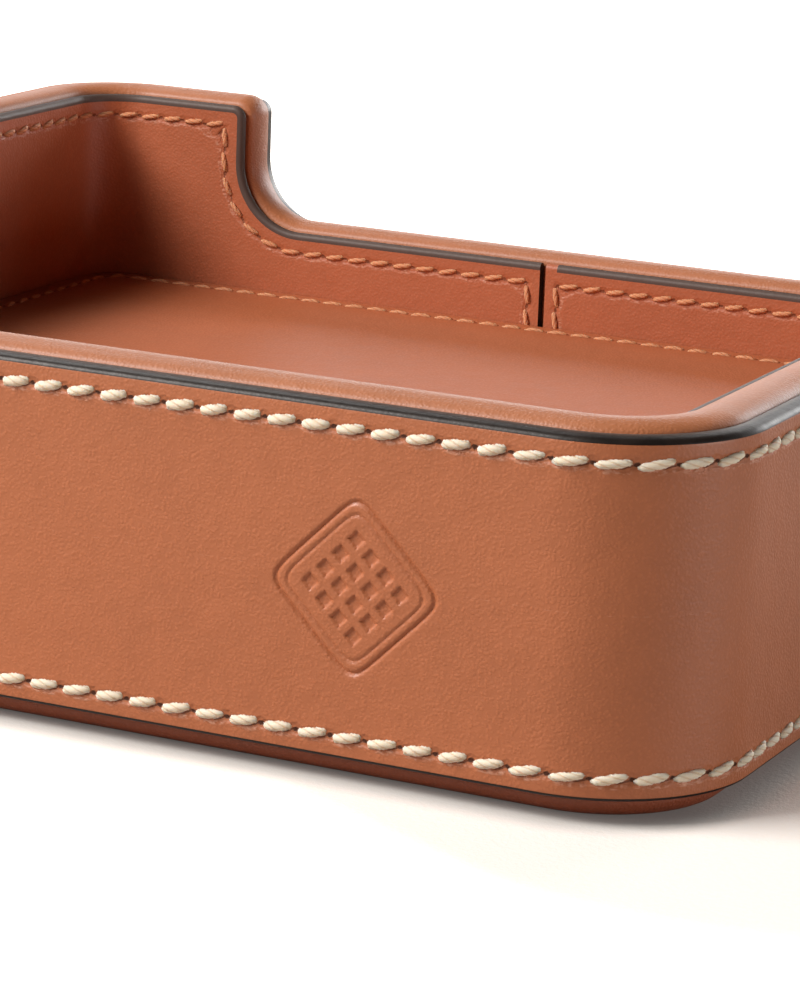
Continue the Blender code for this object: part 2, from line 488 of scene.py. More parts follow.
def mark_stitches(piece, spread, runs):
    """Store on each vertex the number of the stitch and how far it lies across the row, in mm.

    Whole numbers are holes. The third part is the distance without its sign, which fades the rest.
    The rows run in the plane that spread lays the vertices out in.
    """
    count = len(piece.data.vertices)
    places = np.zeros(count * 3)
    piece.data.vertices.foreach_get("co", places)
    places = spread(places.reshape(-1, 3))
    marks = np.full((count, 3), far_off)
    for run in runs:
        knots = np.array(run.line)
        totals = run.first + np.array(run.totals) / run.pitch
        heading = knots[1:] - knots[:-1]
        for begin in range(0, count, batch):
            part = slice(begin, begin + batch)
            away = places[part][:, None] - knots[:-1][None]
            share = np.clip((away * heading).sum(2) / (heading ** 2).sum(1), 0, 1)
            miss = away - share[..., None] * heading
            gap = np.hypot(miss[..., 0], miss[..., 1])
            best = gap.argmin(1)
            row = np.arange(len(best))
            gap, share, miss, way = gap[row, best], share[row, best], miss[row, best], heading[best]
            side = np.sign(way[:, 0] * miss[:, 1] - way[:, 1] * miss[:, 0])
            spot = totals[best] + share * (totals[best + 1] - totals[best])
            closer = gap < marks[part, 2]
            marks[part][closer] = np.stack([spot, side * gap, gap], 1)[closer]
    values = (marks / (1.0, MM, MM)).astype(np.float32)
    attribute = piece.data.attributes.new("stitch_place", "FLOAT_VECTOR", "POINT")
    attribute.data.foreach_set("vector", values.ravel())


def unroll(places):
    """The (along, height) of points on or near the wall."""
    x, y = places[:, 0], places[:, 1]
    quarter = corner_radius * np.arctan2(np.abs(y) - run_y, np.abs(x) - run_x)
    left_rear, left_front, right_front, right_rear = [begin for begin, end in outline.corners]
    corner = (np.abs(x) > run_x) & (np.abs(y) > run_y)
    across = ~corner & (np.abs(x) <= run_x)
    behind = across & (y > 0)
    middle = outline.length - seam_shift
    along = np.select(
        [
            behind & (x <= -seam_shift), behind, across,
            ~corner & (x < 0), ~corner,
            (x < 0) & (y > 0), x < 0, y < 0,
        ],
        [
            -seam_shift - x, middle - x, outline.front_begin + x + run_x,
            left_rear + corner_arc + run_y - y, right_front + corner_arc + y + run_y,
            left_rear + corner_arc - quarter, left_front + quarter, right_front + corner_arc - quarter,
        ],
        right_rear + quarter,
    )
    return np.stack([along, places[:, 2]], 1)


# Node helpers

def new_tree(kind, name, inputs, outputs):
    """A node group with its named inputs and outputs. Returns its wiring, its inputs and its last node."""
    tree = bpy.data.node_groups.new(name, kind)
    for title, sort, *value in inputs:
        socket = tree.interface.new_socket(title, in_out="INPUT", socket_type="NodeSocket" + sort)
        if value:
            socket.default_value = value[0]
    for title, sort in outputs:
        tree.interface.new_socket(title, in_out="OUTPUT", socket_type="NodeSocket" + sort)
    source = tree.nodes.new("NodeGroupInput")
    return Wiring(tree), source.outputs, tree.nodes.new("NodeGroupOutput")


class Wiring:
    """Short calls that add nodes to one tree; an argument may be a socket or a plain value."""

    def __init__(self, tree):
        self.tree = tree

    def feed(self, socket, value):
        if isinstance(value, bpy.types.NodeSocket):
            self.tree.links.new(value, socket)
        else:
            socket.default_value = value

    def fill(self, node, inputs):
        """Feed several inputs of a node, each by its name or number."""
        for key, value in inputs.items():
            self.feed(node.inputs[key], value)

    def node(self, kind, inputs, output=0, **settings):
        """Add a node and return one of its outputs, by name or number."""
        made = self.tree.nodes.new(kind)
        for key, value in settings.items():
            setattr(made, key, value)
        self.fill(made, inputs)
        return made.outputs[output]

    def math(self, operation, first, second=0.0):
        return self.node("ShaderNodeMath", {0: first, 1: second}, operation=operation)

    def add(self, *values):
        total = values[0]
        for value in values[1:]:
            total = self.math("ADD", total, value)
        return total

    def minus(self, first, second):
        return self.math("SUBTRACT", first, second)

    def times(self, first, second):
        return self.math("MULTIPLY", first, second)

    def smooth(self, value, low, high, start=0.0, end=1.0):
        """Ease from start to end as the value goes from low to high."""
        inputs = dict(enumerate((value, low, high, start, end)))
        return self.node("ShaderNodeMapRange", inputs, interpolation_type="SMOOTHSTEP")

    def mix(self, share, first, second):
        """The first colour, turning into the second as the share goes from 0 to 1."""
        return self.node("ShaderNodeMix", {"Factor": share, 6: first, 7: second}, 2, data_type="RGBA")

    def noise(self, place, scale, detail=2.0, roughness=0.5, distortion=0.0, output="Fac"):
        inputs = {"Vector": place, "Scale": scale, "Detail": detail, "Roughness": roughness}
        return self.node("ShaderNodeTexNoise", {**inputs, "Distortion": distortion}, output)

    def bump(self, height, distance, normal=None):
        inputs = {"Distance": distance, "Height": height}
        if normal is not None:
            inputs["Normal"] = normal
        return self.node("ShaderNodeBump", inputs)

    def here(self):
        """The place on the piece, in metres."""
        return self.node("ShaderNodeTexCoord", {}, "Object")

    def stored(self, name):
        """The three parts of an attribute that the mesh carries."""
        return self.parts(self.node("ShaderNodeAttribute", {}, "Vector", attribute_name=name))

    def stretched(self, place, sizes, shift=0.0):
        """The place with each axis scaled, and moved so that two hides don't match."""
        inputs = {"Vector": place, "Scale": sizes, "Location": (shift, 0.4 * shift, 0.7 * shift)}
        return self.node("ShaderNodeMapping", inputs)

    def parts(self, vector):
        made = self.tree.nodes.new("ShaderNodeSeparateXYZ")
        self.feed(made.inputs[0], vector)
        return made.outputs

    def vector(self, *parts):
        return self.node("ShaderNodeCombineXYZ", dict(enumerate(parts)))

    def scaled(self, vector, factor):
        return self.node("ShaderNodeVectorMath", {0: vector, "Scale": factor}, operation="SCALE")

    def ellipse(self, u, v, u_radius, v_radius, inner, outer):
        """1 within an ellipse, easing to 0 between inner and outer, in squared radii."""
        squares = [
            self.math("POWER", self.math("DIVIDE", value, radius), 2.0)
            for value, radius in ((u, u_radius), (v, v_radius))
        ]
        return self.smooth(self.add(*squares), inner, outer, 1.0, 0.0)

    def beyond_outline(self, x, y):
        """How far a place lies outside the tray's outline in plan; inside it is negative."""
        squares = []
        for value, reach in ((x, run_x), (y, run_y)):
            past = self.math("MAXIMUM", self.minus(self.math("ABSOLUTE", value), reach), 0.0)
            squares.append(self.math("POWER", past, 2.0))
        return self.minus(self.math("SQRT", self.add(*squares)), corner_radius)

    def group(self, tree, **values):
        """Place a shared effect; an underscore stands for the space in a socket's name."""
        made = self.tree.nodes.new("ShaderNodeGroup")
        made.node_tree = tree
        self.fill(made, {title.replace("_", " "): value for title, value in values.items()})
        return made.outputs


# Shared effects

def hide_grain():
    """Hide grain: small domes, drawn a little out of shape, with finer grain on them."""
    w, source, sink = new_tree(
        "ShaderNodeTree", "hide_grain",
        [("Place", "Vector"), ("Cell size", "Float", 0.5)],
        [("Height", "Float"), ("Dome", "Float")],
    )
    place = source["Place"]
    rate = w.math("DIVIDE", 1.0 / MM, source["Cell size"])
    wander = w.noise(place, w.times(rate, 0.45), output="Color")
    shift = w.scaled(wander, w.times(source["Cell size"], 0.7 * MM))
    moved = w.node("ShaderNodeVectorMath", {0: place, 1: shift}, operation="ADD")
    cell = w.node("ShaderNodeTexVoronoi", {"Vector": moved, "Scale": rate}, "Distance")
    dome = w.smooth(cell, 0.12, 0.72, 1.0, 0.0)
    pebble = w.noise(place, w.times(rate, 0.9), 3.0, 0.65)
    height = w.add(w.times(dome, 0.75), w.times(pebble, 0.80))
    w.fill(sink, {"Height": height, "Dome": w.times(dome, w.smooth(pebble, 0.30, 0.65))})
    return w.tree


def hide_tone():
    """Slow drifts of tone across a hide: 0 is the deeper tone and 1 the lighter one."""
    w, source, sink = new_tree(
        "ShaderNodeTree", "hide_tone",
        [("Place", "Vector"), ("Patch size", "Float", 24.0)],
        [("Tone", "Float"), ("Cloud", "Float")],
    )
    rate = w.math("DIVIDE", 1.0 / MM, source["Patch size"])
    broad = w.noise(source["Place"], rate, 3.0, 0.55, 0.5)
    cloud = w.noise(source["Place"], w.times(rate, 8.0), 4.0, 0.6)
    mixed = w.add(w.times(broad, 0.65), w.times(cloud, 0.35))
    w.fill(sink, {"Tone": w.smooth(mixed, 0.30, 0.70), "Cloud": cloud})
    return w.tree


def stitch_bed():
    """What a row of stitches does to leather: painted shade in the awl holes and along the crease under each
    stitch, pressed beds, puckers, and painted glints below the stitches.
    """
    w, source, sink = new_tree(
        "ShaderNodeTree", "stitch_bed",
        [("Place", "Vector"), ("Pitch", "Float", 4.0)],
        [("Hole", "Float"), ("Height", "Float"), ("Painted glint", "Float")],
    )
    number, across, gap = w.stored("stitch_place")
    to_hole = w.minus(w.math("FRACT", w.add(number, 0.5)), 0.5)
    to_middle = w.minus(w.math("FRACT", number), 0.5)
    u = w.times(to_hole, source["Pitch"])
    middle_u = w.times(to_middle, source["Pitch"])
    ragged = w.minus(w.noise(source["Place"], 1500.0, 3.0, 0.6), 0.5)
    v = w.add(across, w.times(ragged, 0.25))
    near_row = w.smooth(gap, 1.7, 2.4, 1.0, 0.0)
    hole_u = w.add(u, w.times(ragged, 0.3), -0.06)
    hole = w.ellipse(hole_u, w.add(across, w.times(ragged, 0.5)), 0.36, 0.22, 0.3, 1.5)
    slant = math.radians(20.0)
    run = w.add(w.times(u, math.cos(slant)), w.times(v, math.sin(slant)), 0.70)
    square = w.minus(w.times(v, math.cos(slant)), w.times(u, math.sin(slant)))
    crease_shade = w.times(w.ellipse(run, square, 0.90, 0.10, 0.3, 1.4), 0.6)
    # Painted shade in the awl holes and along the crease under each stitch; the same mask also sinks them a
    # little.
    hole_and_crease = w.times(w.math("MAXIMUM", hole, crease_shade), near_row)
    edge = w.add(across, w.times(ragged, 0.55))
    pressed = w.ellipse(middle_u, w.add(edge, 0.16), 2.25, 0.80, 0.30, 1.15)
    dimple = w.ellipse(u, v, 0.80, 0.75, 0.1, 1.2)
    below = w.ellipse(middle_u, w.add(across, 0.78), 2.0, 0.42, 0.3, 1.1)
    pucker = w.noise(w.stretched(source["Place"], (0.9, 0.9, 1.7)), 1500.0, 2.0, 0.5, 0.4)
    crumple = w.times(w.minus(pucker, 0.5), below)
    hollows = w.add(w.times(pressed, -0.08), w.times(dimple, -0.12), w.times(hole_and_crease, -0.20))
    height = w.times(w.add(hollows, w.times(crumple, 0.15)), near_row)
    # Painted glints: lighter leather on the pucker below each stitch, where its flank catches the light.
    painted_glint = w.times(w.smooth(pucker, 0.42, 0.76), below)
    w.fill(sink, {"Hole": hole_and_crease, "Height": height, "Painted glint": painted_glint})
    return w.tree


grain = hide_grain()
tone = hide_tone()
bed = stitch_bed()


# Materials

def new_material(name, colour, roughness, specular=0.5, coat=0.0, coat_roughness=0.3):
    """A named material with its shader; colour is the flat one that a plain view shows."""
    material = bpy.data.materials.new(name)
    material.use_nodes = True
    material.diffuse_color = (*colour, 1.0)
    shader = material.node_tree.nodes["Principled BSDF"]
    w = Wiring(material.node_tree)
    w.fill(shader, {
        "Base Color": (*colour, 1.0), "Roughness": roughness, "Specular IOR Level": specular,
        "Coat Weight": coat, "Coat Roughness": coat_roughness,
    })
    return material, w, shader


def shade(colour, share):
    """The same colour, darker or lighter, with the alpha that a socket needs."""
    return (*[part * share for part in colour], 1.0)


def leather(name, colour, cell_size, relief, pitch=0.0, shift=0.0, coat=0.20, depth=1.0, rough_start=0.46,
            specular=0.45):
    """Smooth dyed leather: drifting tone, fine grain with dome tops painted lighter as partly dye and partly
    glints, satin finish and, with a pitch, stitch beds.
    """
    material, w, shader = new_material(name, colour, rough_start + 0.06, specular, coat, 0.26)
    place = w.stretched(w.here(), (1.0, 1.0, 1.0), shift)
    drift = w.group(tone, Place=place)
    hide = w.group(grain, Place=place, Cell_size=cell_size)
    tint = w.mix(drift["Tone"], shade(colour, 0.93), shade(colour, 1.06))
    # Dome tops are lighter: partly dye settling in the valleys, partly painted glints on the grain.
    tint = w.mix(w.times(hide["Dome"], 0.5), w.mix(0.16, tint, shade(colour, 0.66)), shade(colour, 1.16))
    rough = w.add(rough_start, w.times(drift["Cloud"], 0.12), w.times(hide["Dome"], -0.05))
    normal = w.bump(w.noise(place, 330.0), 0.10 * MM)
    normal = w.bump(hide["Height"], relief * MM, normal)
    if pitch:
        row = w.group(bed, Place=place, Pitch=pitch)
        # Painted glints below the stitches.
        tint = w.mix(w.times(row["Painted glint"], 0.60 * depth), tint, painted_glint_colour)
        # Painted shade in the awl holes and along the crease under each stitch.
        tint = w.mix(w.times(row["Hole"], 0.90 * depth), tint, stitch_shade_colour)
        normal = w.bump(row["Height"], depth * MM, normal)
        rough = w.math("MAXIMUM", rough, row["Hole"])
        w.feed(shader.inputs["Coat Weight"], w.times(w.minus(1.0, row["Hole"]), coat))
    w.fill(shader, {"Base Color": tint, "Roughness": rough, "Normal": normal})
    return material


def edge_paint(name, colour, roughness, rim_reflection):
    """Polished edge paint: slight waves, a faint fibre, and paler inwards from the band's middle as a
    painted reflection of the rim.

    All of the lining's edge lies further in, so it takes the reflection colour throughout; the lining passes
    its own paint colour for it.
    """
    material, w, shader = new_material(name, colour, roughness, 0.32)
    shader.inputs["Specular Tint"].default_value = (1.0, 0.92, 0.86, 1.0)
    place = w.here()
    wave = w.noise(place, 420.0, 3.0, 0.6)
    fibre = w.noise(place, 2600.0, 3.0, 0.6)
    tint = w.mix(w.smooth(wave, 0.35, 0.7), shade(colour, 0.8), shade(colour, 1.4))
    x, y, z = w.parts(place)
    # The part of the edge towards the rim takes a paler colour: a painted reflection of the rim.
    towards_rim = w.smooth(w.beyond_outline(x, y), -band_thickness / 2, -band_thickness, 0.0, 1.0)
    w.fill(shader, {
        "Base Color": w.mix(towards_rim, tint, (*rim_reflection, 1.0)),
        "Roughness": w.add(roughness - 0.05, w.times(fibre, 0.14)),
        "Normal": w.bump(fibre, 0.02 * MM, w.bump(wave, 0.06 * MM)),
    })
    return material


def waxed_thread(name, colour, ply_shade_colour):
    """Waxed three-ply thread: painted shade in the hollows between the plies and on the end where it dives
    in, and fine fibres.
    """
    material, w, shader = new_material(name, colour, 0.60, 0.2)
    ply_shade_colour = (*ply_shade_colour, 1.0)
    share, groove, end = w.stored("ply_place")
    place = w.here()
    fuzz = w.noise(place, 5200.0, 2.0, 0.65)
    patch = w.noise(place, 650.0)
    valley = w.smooth(w.add(groove, w.times(fuzz, 0.3)), 0.62, 1.15)
    tint = w.mix(w.times(w.smooth(patch, 0.4, 0.75), 0.35), shade(colour, 1.0), shade(colour, 0.88))
    # Painted shade in the hollows between the plies, then on the last part of each stitch where it dives
    # into the leather.
    tint = w.mix(w.times(valley, 0.50), tint, ply_shade_colour)
    tint = w.mix(w.times(w.smooth(share, 0.80, 1.0), 0.60), tint, ply_shade_colour)
    height = w.add(w.times(valley, -0.05), w.times(fuzz, 0.03))
    w.fill(shader, {
        "Base Color": tint, "Normal": w.bump(height, 1.0 * MM), "Subsurface Weight": 0.6,
        "Subsurface Radius": (1.0, 0.8, 0.6), "Subsurface Scale": 1.0 * MM,
    })
    return material


def carcass_wood(name, colour, stretch, rate):
    """Raw board or timber inside the walls: fibres drawn out along one direction."""
    material, w, shader = new_material(name, colour, 0.85, 0.3)
    fibre = w.noise(w.stretched(w.here(), stretch), rate, 4.0, 0.6, 0.4)
    tint = w.mix(w.smooth(fibre, 0.3, 0.7), shade(colour, 0.8), shade(colour, 1.2))
    w.fill(shader, {"Base Color": tint, "Normal": w.bump(fibre, 0.04 * MM)})
    return material


# Colour of the painted glints below the stitches.
painted_glint_colour = (0.80, 0.44, 0.30, 1.0)
# Colour of the painted shade in the awl holes and along the crease under the stitches.
stitch_shade_colour = (0.030, 0.009, 0.005, 1.0)
# The lining's edge paint is lighter and browner than the band's: partly its own colour, partly a painted
# sheen.
lining_paint_and_sheen_colour = (0.085, 0.054, 0.043)
band_leather = leather("band_leather", (0.455, 0.138, 0.0505), 0.38, 0.034, outer_pitch / MM)
rim_leather = leather("rim_leather", (0.440, 0.148, 0.058), 0.36, 0.038, 0.0, 0.31, 0.14, rough_start=0.50)
lining_leather = leather("lining_leather", (0.422, 0.110, 0.0420), 0.42, 0.028, inner_pitch / MM, 0.57, 0.06,
                         0.6)
floor_leather = leather("floor_leather", (0.436, 0.118, 0.0425), 0.42, 0.024, inner_pitch / MM, 0.83, 0.0,
                        0.5, 0.50, 0.24)
# The base's leather takes a darker colour than the band's: painted shade under the band's overhang.
base_leather = leather("base_leather", (0.345, 0.083, 0.034), 0.38, 0.045, 0.0, 1.13)
# The last colour is the painted reflection of the rim on the inner part of the band's edge.
band_paint = edge_paint("band_edge_paint", (0.015, 0.010, 0.008), 0.38, (0.13, 0.098, 0.082))
lining_paint = edge_paint("lining_edge_paint", lining_paint_and_sheen_colour, 0.48, lining_paint_and_sheen_colour)
# Each thread's second colour is its painted shade.
cream_thread = waxed_thread("cream_thread", (0.84, 0.70, 0.54), (0.62, 0.37, 0.21))
tan_thread = waxed_thread("tan_thread", (0.62, 0.255, 0.125), (0.38, 0.125, 0.052))


# Pieces of leather

def build_outer_band():
    """The outer band, with the lozenge tooled into its front."""
    rows = strip_section(0.0, band_thickness, band_foot, band_round, band_crown, rising, band_reach,
                         band_face_rows)
    mesh_data, rings = sweep(rows, wall_stations(band_seam_gap))
    tool_lozenge(mesh_data)
    piece = piece_from("outer_leather_band", mesh_data, [band_leather, band_paint])
    mark_stitches(piece, unroll, outer_runs)
    hand_over(piece, "band_leather", "outer_band")


def tool_lozenge(mesh_data):
    """Divide the front face round the lozenge finely and press the tool's lines into it."""
    reach = lozenge_half + lozenge_step
    edges = set()
    for face in mesh_data.faces:
        middle = face.calc_center_median()
        if max(abs(middle.x - lozenge_x), abs(middle.z - lozenge_z)) < reach and on_front(middle):
            edges.update(face.edges)
    bmesh.ops.subdivide_edges(mesh_data, edges=list(edges), cuts=lozenge_cuts, use_grid_fill=True)
    for vertex in mesh_data.verts:
        if on_front(vertex.co):
            vertex.co.y += tool_depth(vertex.co.x - lozenge_x, vertex.co.z - lozenge_z)


def on_front(place):
    return abs(place.y + half_y) < 0.01 * MM


def tool_depth(x, z):
    """How deep the tool goes: two grooves round a lattice of small lozenge seeds."""
    a = (x + z) / lozenge_half
    b = (x - z) / lozenge_half
    reach = (a ** 8 + b ** 8) ** (1 / 8)
    if reach > 1.1:
        return 0.0
    depth = 0.0
    for ring, width, share in ((0.94, 0.026, 1.0), (0.80, 0.020, 0.6)):
        depth += groove_depth * share * math.exp(-((reach - ring) / width) ** 2)
    if max(abs(a), abs(b)) < lattice_half:
        cell = 2 * lattice_half / seed_rows
        seed = max(abs(place / cell % 1 - 0.5) for place in (a, b))
        depth += seed_depth * ease((0.33 - seed) / 0.11)
    return depth


def ease(share):
    share = min(max(share, 0.0), 1.0)
    return share * share * (3 - 2 * share)


def build_lining_band():
    """The lining band; the paint stops short of its right end at the seam."""
    rows = strip_section(lining_outer, lining_thickness, lining_foot, lining_round, lining_crown, rounded,
                         lining_reach, lining_face_rows)
    stations = wall_stations(lining_seam_gap)
    last = stations.pop()
    stations.append(Station(outline.length - lining_seam_gap / 2 - bare_end, low_top))
    stations.sort(key=lambda station: station.foot)
    mesh_data, rings = sweep(rows, stations + [last])
    bare = set(rings[-1] + rings[-2])
    for face in mesh_data.faces:
        if len(face.verts) == 4 and bare.issuperset(face.verts):
            face.material_index = 0
    piece = piece_from("lining_leather_band", mesh_data, [lining_leather, lining_paint])
    mark_stitches(piece, unroll, lining_runs)
    hand_over(piece, "lining_leather", "lining_band")


def dome(outer, inner, rise, steps):
    """The rim's dome as (inset, offset) from its outer shoulder to its inner one."""
    points = []
    for step in range(steps + 1):
        angle = math.pi * step / steps
        inset = (outer + inner) / 2 - (inner - outer) / 2 * math.cos(angle)
        points.append((inset, rise * math.sin(angle) ** 0.8 - shoulder_drop))
    return points


def build_rim_wrap():
    """The leather over the wall boards; its dome is the rim between the two bands."""
    outer = band_thickness + crease
    inner = lining_outer - crease
    rise = crest_rise + shoulder_drop
    outside = [Row(inset, top=offset) for inset, offset in dome(outer, inner, rise, 22)]
    rows = [Row(outer, foot=lining_foot), *outside, Row(inner, foot=lining_foot)]
    outer += skin_thickness
    inner -= skin_thickness
    inside = [Row(inset, top=offset) for inset, offset in dome(outer, inner, rise - skin_thickness, 12)]
    rows += [Row(inner, foot=lining_foot), *inside[::-1], Row(outer, foot=lining_foot)]
    mesh_data, rings = sweep(rows, wall_stations(0.0)[:-1], closed=True)
    piece = piece_from("rim_leather_wrap", mesh_data, [rim_leather])
    hand_over(piece, "rim_leather", "rim_wrap")


def plan_ring(inset):
    """The tray's plan at an inset, as points round its four corners."""
    return [
        outline.place(begin + corner_arc * step / corner_steps, inset)
        for begin, end in outline.corners
        for step in range(corner_steps + 1)
    ]


def slab(levels):
    """A plate with the tray's plan from (inset, height) pairs, closed at its first and last level."""
    mesh_data = bmesh.new()
    rows = [[mesh_data.verts.new((x, y, height)) for x, y in plan_ring(inset)] for inset, height in levels]
    for lower, upper in zip(rows, rows[1:]):
        for index in range(len(lower)):
            mesh_data.faces.new((lower[index - 1], lower[index], upper[index], upper[index - 1]))
    mesh_data.faces.new(rows[0])
    mesh_data.faces.new(rows[-1])
    bmesh.ops.recalc_face_normals(mesh_data, faces=mesh_data.faces)
    return mesh_data


def quarter_round(inset, bottom, radius):
    """The turn from the underside of a plate to its side, as (inset, height)."""
    return [
        (inset + radius * (1 - sine), bottom + radius * (1 - cosine))
        for sine, cosine in quarter_turn(round_steps)
    ]


def build_floor():
    """The floor leather, fitted to the lining, with rings of faces round its stitch row."""
    edge = wall_thickness + floor_fit
    turned = quarter_round(edge, -floor_top, floor_round)
    levels = [(edge, floor_bottom)] + [(inset, -height) for inset, height in reversed(turned)]
    row = wall_thickness + floor_row_gap
    levels += [(row + 0.6 * MM * ring, floor_top) for ring in range(-3, 4)]
    piece = piece_from("floor_leather_panel", slab(levels), [floor_leather])
    mark_stitches(piece, lambda places: places[:, :2], floor_runs)
    hand_over(piece, "floor_leather", "floor_panel")


def build_base():
    """The leather under the tray, turned up round the base."""
    skin = quarter_round(base_inset, 0.0, base_edge_radius) + [(base_inset, base_top)]
    inner_inset = base_inset + skin_thickness
    inside = quarter_round(inner_inset, skin_thickness, base_edge_radius - skin_thickness)
    mesh_data = slab(skin + [(inner_inset, base_top)] + inside[::-1])
    piece = piece_from("base_leather_cover", mesh_data, [base_leather])
    hand_over(piece, "base_leather", "base_cover")


# Stitches

def keep_value(w, geometry, name, value, data_type="FLOAT"):
    """Store a value on the points of a geometry under a name."""
    inputs = {"Geometry": geometry, "Name": name, "Value": value}
    return w.node("GeometryNodeStoreNamedAttribute", inputs, data_type=data_type, domain="POINT")


def twisted_stitch(w, source, phase):
    """One stitch of three-ply thread: an arched body with three twisted lobes."""
    line = w.node("GeometryNodeCurvePrimitiveLine", {"End": (1.0, 0.0, 0.0)})
    fine = w.node("GeometryNodeResampleCurve", {"Curve": line, "Count": stitch_rings})
    share = w.node("GeometryNodeSplineParameter", {}, "Factor")
    swell = w.math("POWER", w.math("SINE", w.times(share, math.pi)), 0.5)
    height = w.minus(w.times(swell, source["Rise"]), source["Sink"])
    along = w.times(w.minus(share, 0.5), source["Length"])
    place = w.vector(along, 0.0, w.times(height, source["Radius"]))
    arched = w.node("GeometryNodeSetPosition", {"Geometry": fine, "Position": place})
    turn = w.add(w.times(w.times(share, source["Twist"]), 2 * math.pi), phase)
    tilt = w.node("GeometryNodeSetCurveTilt", {"Curve": arched, "Tilt": turn})
    thin = w.add(w.times(swell, 0.25), w.smooth(share, 0.55, 1.0, 0.75, 0.55))
    return w.node("GeometryNodeCurveToMesh", {
        "Curve": keep_value(w, tilt, "ply_share", share), "Profile Curve": lobed_profile(w),
        "Scale": w.times(thin, source["Radius"]), "Fill Caps": True,
    })


def lobed_profile(w):
    """A nine-sided circle with every third corner drawn in."""
    circle = w.node("GeometryNodeCurvePrimitiveCircle", {"Resolution": 9, "Radius": 1.0})
    index = w.node("GeometryNodeInputIndex", {})
    valley = w.math("LESS_THAN", w.math("MODULO", index, 3.0), 0.5)
    inward = w.scaled(w.node("GeometryNodeInputPosition", {}), w.minus(1.0, w.times(valley, ply_valley)))
    shaped = w.node("GeometryNodeSetPosition", {"Geometry": circle, "Position": inward})
    return keep_value(w, shaped, "ply_groove", valley)


def random_value(w, seed, low, high):
    return w.node("FunctionNodeRandomValue", {2: low, 3: high, "Seed": seed}, 1, data_type="FLOAT")


def named_attribute(w, name, data_type="FLOAT"):
    return w.node("GeometryNodeInputNamedAttribute", {"Name": name}, data_type=data_type)


def saddle_stitches():
    """Stitches spread along a path, each leaning a little against the row, from three sorts of body."""
    w, source, sink = new_tree(
        "GeometryNodeTree", "saddle_stitches",
        [
            ("Path", "Geometry"),
            ("Count", "Int", 10),
            ("Length", "Float", 3.25 * MM),
            ("Radius", "Float", 0.58 * MM),
            ("Twist", "Float", 0.90),
            ("Lean", "Float", math.radians(9.0)),
            ("Rise", "Float", 1.0),
            ("Sink", "Float", 0.8),
            ("Seed", "Int", 4),
            ("Thread", "Material"),
        ],
        [("Stitches", "Geometry")],
    )
    seed = source["Seed"]
    sorts = w.tree.nodes.new("GeometryNodeJoinGeometry")
    for phase in (0.0, 0.8, 1.5):
        single = w.node("GeometryNodeGeometryToInstance", {0: twisted_stitch(w, source, phase)})
        w.feed(sorts.inputs[0], single)
    curve = w.node("GeometryNodeMeshToCurve", {0: source["Path"]})
    points = w.node("GeometryNodeResampleCurve", {"Curve": curve, "Count": source["Count"]})
    tangent = w.node("GeometryNodeInputTangent", {})
    along = w.node("FunctionNodeAlignRotationToVector", {"Vector": tangent}, axis="X")
    facing = {"Rotation": along, "Vector": named_attribute(w, "outward", "FLOAT_VECTOR")}
    upright = w.node("FunctionNodeAlignRotationToVector", facing, axis="Z", pivot_axis="X")
    leaning = {"Axis": (0.0, 0.0, 1.0), "Angle": w.add(source["Lean"], random_value(w, seed, -0.06, 0.06))}
    lean = {"Rotation": upright, "Rotate By": w.node("FunctionNodeAxisAngleToRotation", leaning)}
    sizes = [
        random_value(w, w.add(seed, axis + 1.0), low, high)
        for axis, (low, high) in enumerate(((0.96, 1.03), (0.95, 1.07), (0.76, 0.88)))
    ]
    instances = w.node("GeometryNodeInstanceOnPoints", {
        "Points": points, "Instance": sorts.outputs[0], "Pick Instance": True,
        "Instance Index": w.math("FLOOR", random_value(w, w.add(seed, 7.0), 0.0, 2.999)),
        "Rotation": w.node("FunctionNodeRotateRotation", lean, rotation_space="LOCAL"),
        "Scale": w.vector(*sizes),
    })
    real = w.node("GeometryNodeRealizeInstances", {0: instances})
    ply = w.vector(named_attribute(w, "ply_share"), named_attribute(w, "ply_groove"))
    kept = keep_value(w, real, "ply_place", ply, "FLOAT_VECTOR")
    finished = w.node("GeometryNodeSetMaterial", {"Geometry": kept, "Material": source["Thread"]})
    w.fill(sink, {"Stitches": finished})
    return w.tree


stitches = saddle_stitches()


def sew(mesh_data, run, lift, outward, thread, radius):
    """Add the stitches of one run to a bmesh; longer stitches draw the thread thinner."""
    places = run.path()
    path = bpy.data.meshes.new("stitch_path")
    path.from_pydata([lift(place) for place in places], [(at, at + 1) for at in range(len(places) - 1)], [])
    facing = path.attributes.new("outward", "FLOAT_VECTOR", "POINT")
    facing.data.foreach_set("vector", np.array([outward(place) for place in places], np.float32).ravel())
    guide = stand("stitch_guide", path)
    modifier = guide.modifiers.new("stitches", "NODES")
    modifier.node_group = stitches
    values = {
        "Count": run.count, "Length": stitch_share * run.pitch, "Radius": radius / run.stretch,
        "Seed": 10 * run.first + 3, "Thread": thread,
    }
    for socket in stitches.interface.items_tree:
        if socket.in_out == "INPUT" and socket.name in values:
            modifier[socket.identifier] = values[socket.name]
    evaluated = guide.evaluated_get(bpy.context.evaluated_depsgraph_get())
    mesh_data.from_mesh(bpy.data.meshes.new_from_object(evaluated))
    bpy.data.objects.remove(guide, do_unlink=True)


def build_stitches(name, rows, thread, slot, radius):
    """One piece of thread from several rows, each given as (runs, lift, outward)."""
    mesh_data = bmesh.new()
    for runs, lift, outward in rows:
        for run in runs:
            sew(mesh_data, run, lift, outward, thread, radius)
    hand_over(piece_from(name, mesh_data, [thread], sharp=180.0), slot)


def off_the_wall(sign):
    """Turns a place on the wall into the direction that its face looks: 1 is outside, -1 inside."""
    def outward(place):
        facing = outline.outward(place[0])
        return sign * facing.x, sign * facing.y, 0.0
    return outward


def up_from_floor(place):
    return 0.0, 0.0, 1.0


def on_floor(place):
    return place[0], place[1], floor_top


